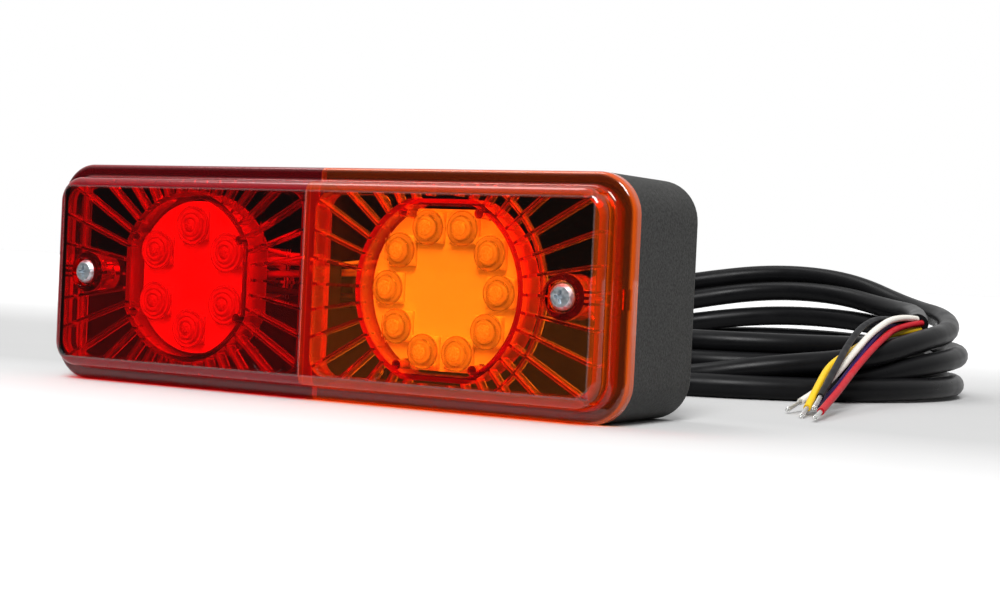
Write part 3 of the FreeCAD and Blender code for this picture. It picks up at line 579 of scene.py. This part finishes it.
class World:
    """The studio around the lamp, as light that comes from each direction."""

    def __init__(self):
        world = bpy.data.worlds.new("studio")
        scene.world = world
        world.use_nodes = True
        self.nodes, self.links = world.node_tree.nodes, world.node_tree.links
        self.direction = self.nodes.new("ShaderNodeTexCoord").outputs["Generated"]

    def calculate(self, operation, first, second):
        node = self.nodes.new("ShaderNodeMath")
        node.operation = operation
        for socket, source in zip(node.inputs, (first, second)):
            if isinstance(source, float):
                socket.default_value = source
            else:
                self.links.new(source, socket)
        return node.outputs[0]

    def towards(self, aim, edge, core, level):
        """Light from around one direction: nothing at edge degrees from it, all of it at core."""
        dot = self.nodes.new("ShaderNodeVectorMath")
        dot.operation = "DOT_PRODUCT"
        dot.inputs[1].default_value = Vector(aim).normalized()
        self.links.new(self.direction, dot.inputs[0])
        span = self.nodes.new("ShaderNodeMapRange")
        span.interpolation_type = "SMOOTHSTEP"
        span.inputs["From Min"].default_value = cos(radians(edge))
        span.inputs["From Max"].default_value = cos(radians(core))
        span.inputs["To Max"].default_value = level
        self.links.new(dot.outputs["Value"], span.inputs["Value"])
        return span.outputs[0]

    def finish(self, total):
        """What the camera sees of the studio itself is plain white."""
        background = self.nodes["Background"]
        path = self.nodes.new("ShaderNodeLightPath").outputs["Is Camera Ray"]
        hidden = self.calculate("SUBTRACT", 1.0, path)
        seen = self.calculate("ADD", self.calculate("MULTIPLY", total, hidden), path)
        self.links.new(seen, background.inputs["Strength"])
        background.inputs["Color"].default_value = (1, 1, 1, 1)


def make_light():
    """A key light high in front, a broad one above and behind, a small one overhead, a dim room."""
    world = World()
    key = world.towards((0.35, -0.75, 0.85), edge=15, core=9, level=27.0)
    back = world.towards((-0.2, 0.6, 0.8), edge=100, core=40, level=0.75)
    overhead = world.towards((-0.45, 0.05, 0.9), edge=16, core=9, level=5.0)
    room = 0.06
    total = world.calculate("ADD", world.calculate("ADD", key, back), overhead)
    world.finish(world.calculate("ADD", total, room))


# ---- light sources -----------------------------------------------------------------

ROUND_STEPS = 40
CAP_PROFILES = {
    # radius and height of each step of a cap, from its foot to its middle, in shares of the cap
    "amber": [(1.0, 0.0), (1.0, 0.16), (0.97, 0.22), (0.76, 0.24), (0.74, 0.3), (0.72, 0.42),
              (0.62, 0.46), (0.56, 0.5), (0.53, 0.66), (0.45, 0.83), (0.31, 0.94), (0.16, 0.99)],
    "red": [(1.0, 0.0), (1.0, 0.3), (0.97, 0.38), (0.88, 0.42), (0.85, 0.32), (0.8, 0.32),
            (0.77, 0.56), (0.72, 0.62), (0.64, 0.62), (0.61, 0.48), (0.56, 0.48), (0.53, 0.76),
            (0.46, 0.82), (0.38, 0.8), (0.36, 0.66), (0.31, 0.68), (0.27, 0.86), (0.18, 0.96),
            (0.09, 1.0)],
}


def islands(node):
    """The lowest and highest corners of each separate solid of a node."""
    mesh = bmesh.new()
    mesh.from_mesh(frame["nodes"][node].data)
    bmesh.ops.remove_doubles(mesh, verts=mesh.verts, dist=MM / 1000)
    unseen, boxes = set(mesh.verts), []
    while unseen:
        reached, queue = [], [unseen.pop()]
        while queue:
            vertex = queue.pop()
            reached.append(vertex.co.copy())
            for edge in vertex.link_edges:
                other = edge.other_vert(vertex)
                if other in unseen:
                    unseen.discard(other)
                    queue.append(other)
        boxes.append(([min(p[i] for p in reached) for i in range(3)],
                      [max(p[i] for p in reached) for i in range(3)]))
    mesh.free()
    return sorted(boxes)


def circle(mesh, centre, radius, y):
    """Points of a circle round a line along Y."""
    points = []
    for i in range(ROUND_STEPS):
        turn = 2 * pi * i / ROUND_STEPS
        points.append(mesh.verts.new((centre[0] + radius * cos(turn), y, centre[2] + radius * sin(turn))))
    return points


def square(mesh, centre, half, y):
    """Points of a square's outline, in the same directions as a circle's."""
    points = []
    for i in range(ROUND_STEPS):
        turn = 2 * pi * i / ROUND_STEPS
        reach = half / max(abs(cos(turn)), abs(sin(turn)))
        points.append(mesh.verts.new((centre[0] + reach * cos(turn), y, centre[2] + reach * sin(turn))))
    return points


def skin(mesh, rings):
    """A closed surface over a row of rings."""
    for low, high in zip(rings, rings[1:]):
        for i in range(len(low)):
            j = (i + 1) % len(low)
            mesh.faces.new((low[i], low[j], high[j], high[i]))
    mesh.faces.new(rings[0])
    mesh.faces.new(rings[-1])


def add_turned(mesh, centre, profile, direction=-1):
    """A closed turned shape on a line along Y. profile gives radius and distance from its foot."""
    skin(mesh, [circle(mesh, centre, radius, centre[1] + direction * along)
                for radius, along in profile])


def finish_mesh(name, mesh, material, node):
    """Make an object of a mesh, which replaces a CAD node and takes its material slot."""
    bmesh.ops.recalc_face_normals(mesh, faces=mesh.faces)
    data = bpy.data.meshes.new(name)
    mesh.to_mesh(data)
    mesh.free()
    data.shade_smooth()
    data.materials.append(material)
    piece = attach(new_object(name, data), "root")
    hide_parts(node)
    return piece


def make_caps(colour, materials):
    """A clear stepped cap with a dome over each light source."""
    node, mesh = colour + "_optics", bmesh.new()
    for low, high in islands(node):
        radius, height = (high[0] - low[0]) / 2, high[1] - low[1]
        centre = ((low[0] + high[0]) / 2, high[1], (low[2] + high[2]) / 2)
        add_turned(mesh, centre, [(r * radius, h * height) for r, h in CAP_PROFILES[colour]])
    material = materials.get(colour + "_caps", materials[RECORD_SLOTS[node]])
    finish_mesh(colour + "_caps", mesh, material, node)


# Radius and depth of the cup in a light source, as shares of its half width and its height.
CUPS = {"red": (0.3, 0.2), "amber": (0.55, 0.35)}
# Radii of the cup's floor, and of the foot and top of the knob on it, as shares of the cup's radius.
CUP_FLOOR, KNOB_FOOT, KNOB_TOP = 0.62, 0.3, 0.24
EDGE = 0.45 * MM


def make_sources(colour, materials):
    """Square light sources with softened edges and a round cup in front."""
    node, mesh = colour + "_leds", bmesh.new()
    cup_share, cup_depth = CUPS[colour]
    for low, high in islands(node):
        half, depth = (high[0] - low[0]) / 2, high[1] - low[1]
        centre = ((low[0] + high[0]) / 2, high[1], (low[2] + high[2]) / 2)
        rings = [square(mesh, centre, half * size, centre[1] - along)
                 for size, along in ((1.0, 0.0), (1.0, depth - EDGE), (1 - EDGE / half, depth))]
        cup, floor = half * cup_share, depth * (1 - cup_depth)
        rings += [circle(mesh, centre, radius, centre[1] - along)
                  for radius, along in ((cup, depth), (cup * CUP_FLOOR, floor), (cup * KNOB_FOOT, floor),
                                        (cup * KNOB_TOP, (floor + depth) / 2))]
        skin(mesh, rings)
    finish_mesh(colour + "_sources", mesh, materials[RECORD_SLOTS[node]], node)


# ---- studs -------------------------------------------------------------------------

# A stud's head, neck and thread. Their ends are measured from the face of the head.
HEAD_RADIUS, HEAD_END = 4.0 * MM, 3.5 * MM
NECK_RADIUS, NECK_END = 3.0 * MM, 7.5 * MM
SHANK_RADIUS, THREAD_PITCH, THREAD_DEPTH = 2.5 * MM, 0.8 * MM, 0.42 * MM


def make_studs(materials):
    """Studs with a head, a plain neck through the wall and a thread behind it."""
    node, mesh = "rear_studs", bmesh.new()
    root = SHANK_RADIUS - THREAD_DEPTH
    for low, high in islands(node):
        centre = ((low[0] + high[0]) / 2, low[1], (low[2] + high[2]) / 2)
        profile = [(HEAD_RADIUS, 0), (HEAD_RADIUS, HEAD_END), (NECK_RADIUS, HEAD_END),
                   (NECK_RADIUS, NECK_END), (SHANK_RADIUS, NECK_END)]
        length, along = high[1] - low[1], NECK_END + THREAD_PITCH
        while along + THREAD_PITCH < length:
            profile += [(SHANK_RADIUS, along), (root, along + THREAD_PITCH / 2)]
            along += THREAD_PITCH
        add_turned(mesh, centre, profile + [(SHANK_RADIUS, along), (root, length)], 1)
    finish_mesh("threaded_studs", mesh, materials[RECORD_SLOTS[node]], node)


# ---- cords -------------------------------------------------------------------------

# A strand is twisted once in the length TWIST, and its tip is wider by the share FLARE. WIRES counts
# the wires round its middle one.
WIRES, WIRE_RADIUS, WIRE_STEPS, WIRE_SIDES = 6, 0.2 * MM, 12, 10
TWIST, FLARE = 8.0 * MM, 0.2


def make_strand(colour, start, materials):
    """Thin wires twisted round one in the middle, a little apart at the tip."""
    node, mesh = "strand_" + colour, bmesh.new()
    corners = [vertex.co for vertex in frame["nodes"][node].data.vertices]
    along = (sum(corners, Vector()) / len(corners) - start).normalized()
    reach = max((corner - start).dot(along) for corner in corners)
    across = along.orthogonal().normalized()
    up = along.cross(across)
    for wire in range(WIRES + 1):
        offset = 2 * WIRE_RADIUS if wire < WIRES else 0.0
        rings = []
        for step in range(WIRE_STEPS + 1):
            share = step / WIRE_STEPS
            turn = 2 * pi * (wire / WIRES + reach * share / TWIST)
            away = offset * (1 + FLARE * share ** 3)
            middle = start + along * reach * share + (across * cos(turn) + up * sin(turn)) * away
            rings.append([mesh.verts.new(middle + (across * cos(2 * pi * i / WIRE_SIDES)
                                                   + up * sin(2 * pi * i / WIRE_SIDES)) * WIRE_RADIUS)
                          for i in range(WIRE_SIDES)])
        skin(mesh, rings)
    return finish_mesh("wires_" + colour, mesh, materials[RECORD_SLOTS[node]], node)


def make_cords(materials):
    """The lead in one line, and its five cores from where the sheath ends."""
    lead = cord_curve("cable_line", LEAD_ROUTE + coil_route(), LEAD_RADIUS, materials["cable_sheath"])
    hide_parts("cable", "cable_coil")
    lead_points = line_of(lead)
    print("lead length", length_of(lead_points))
    for colour, route in CORE_ROUTES.items():
        core = cord_curve("core_line_" + colour, route, CORE_RADIUS, materials["core_" + colour])
        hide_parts("core_" + colour)
        core_points = line_of(core)
        strand = make_strand(colour, core_points[-1], materials)


# ---- build -------------------------------------------------------------------------

make_camera()
materials = make_materials()
make_cords(materials)
dress_nodes(materials)
for colour in ("red", "amber"):
    make_caps(colour, materials)
    make_sources(colour, materials)
make_studs(materials)
make_stage()
make_light()
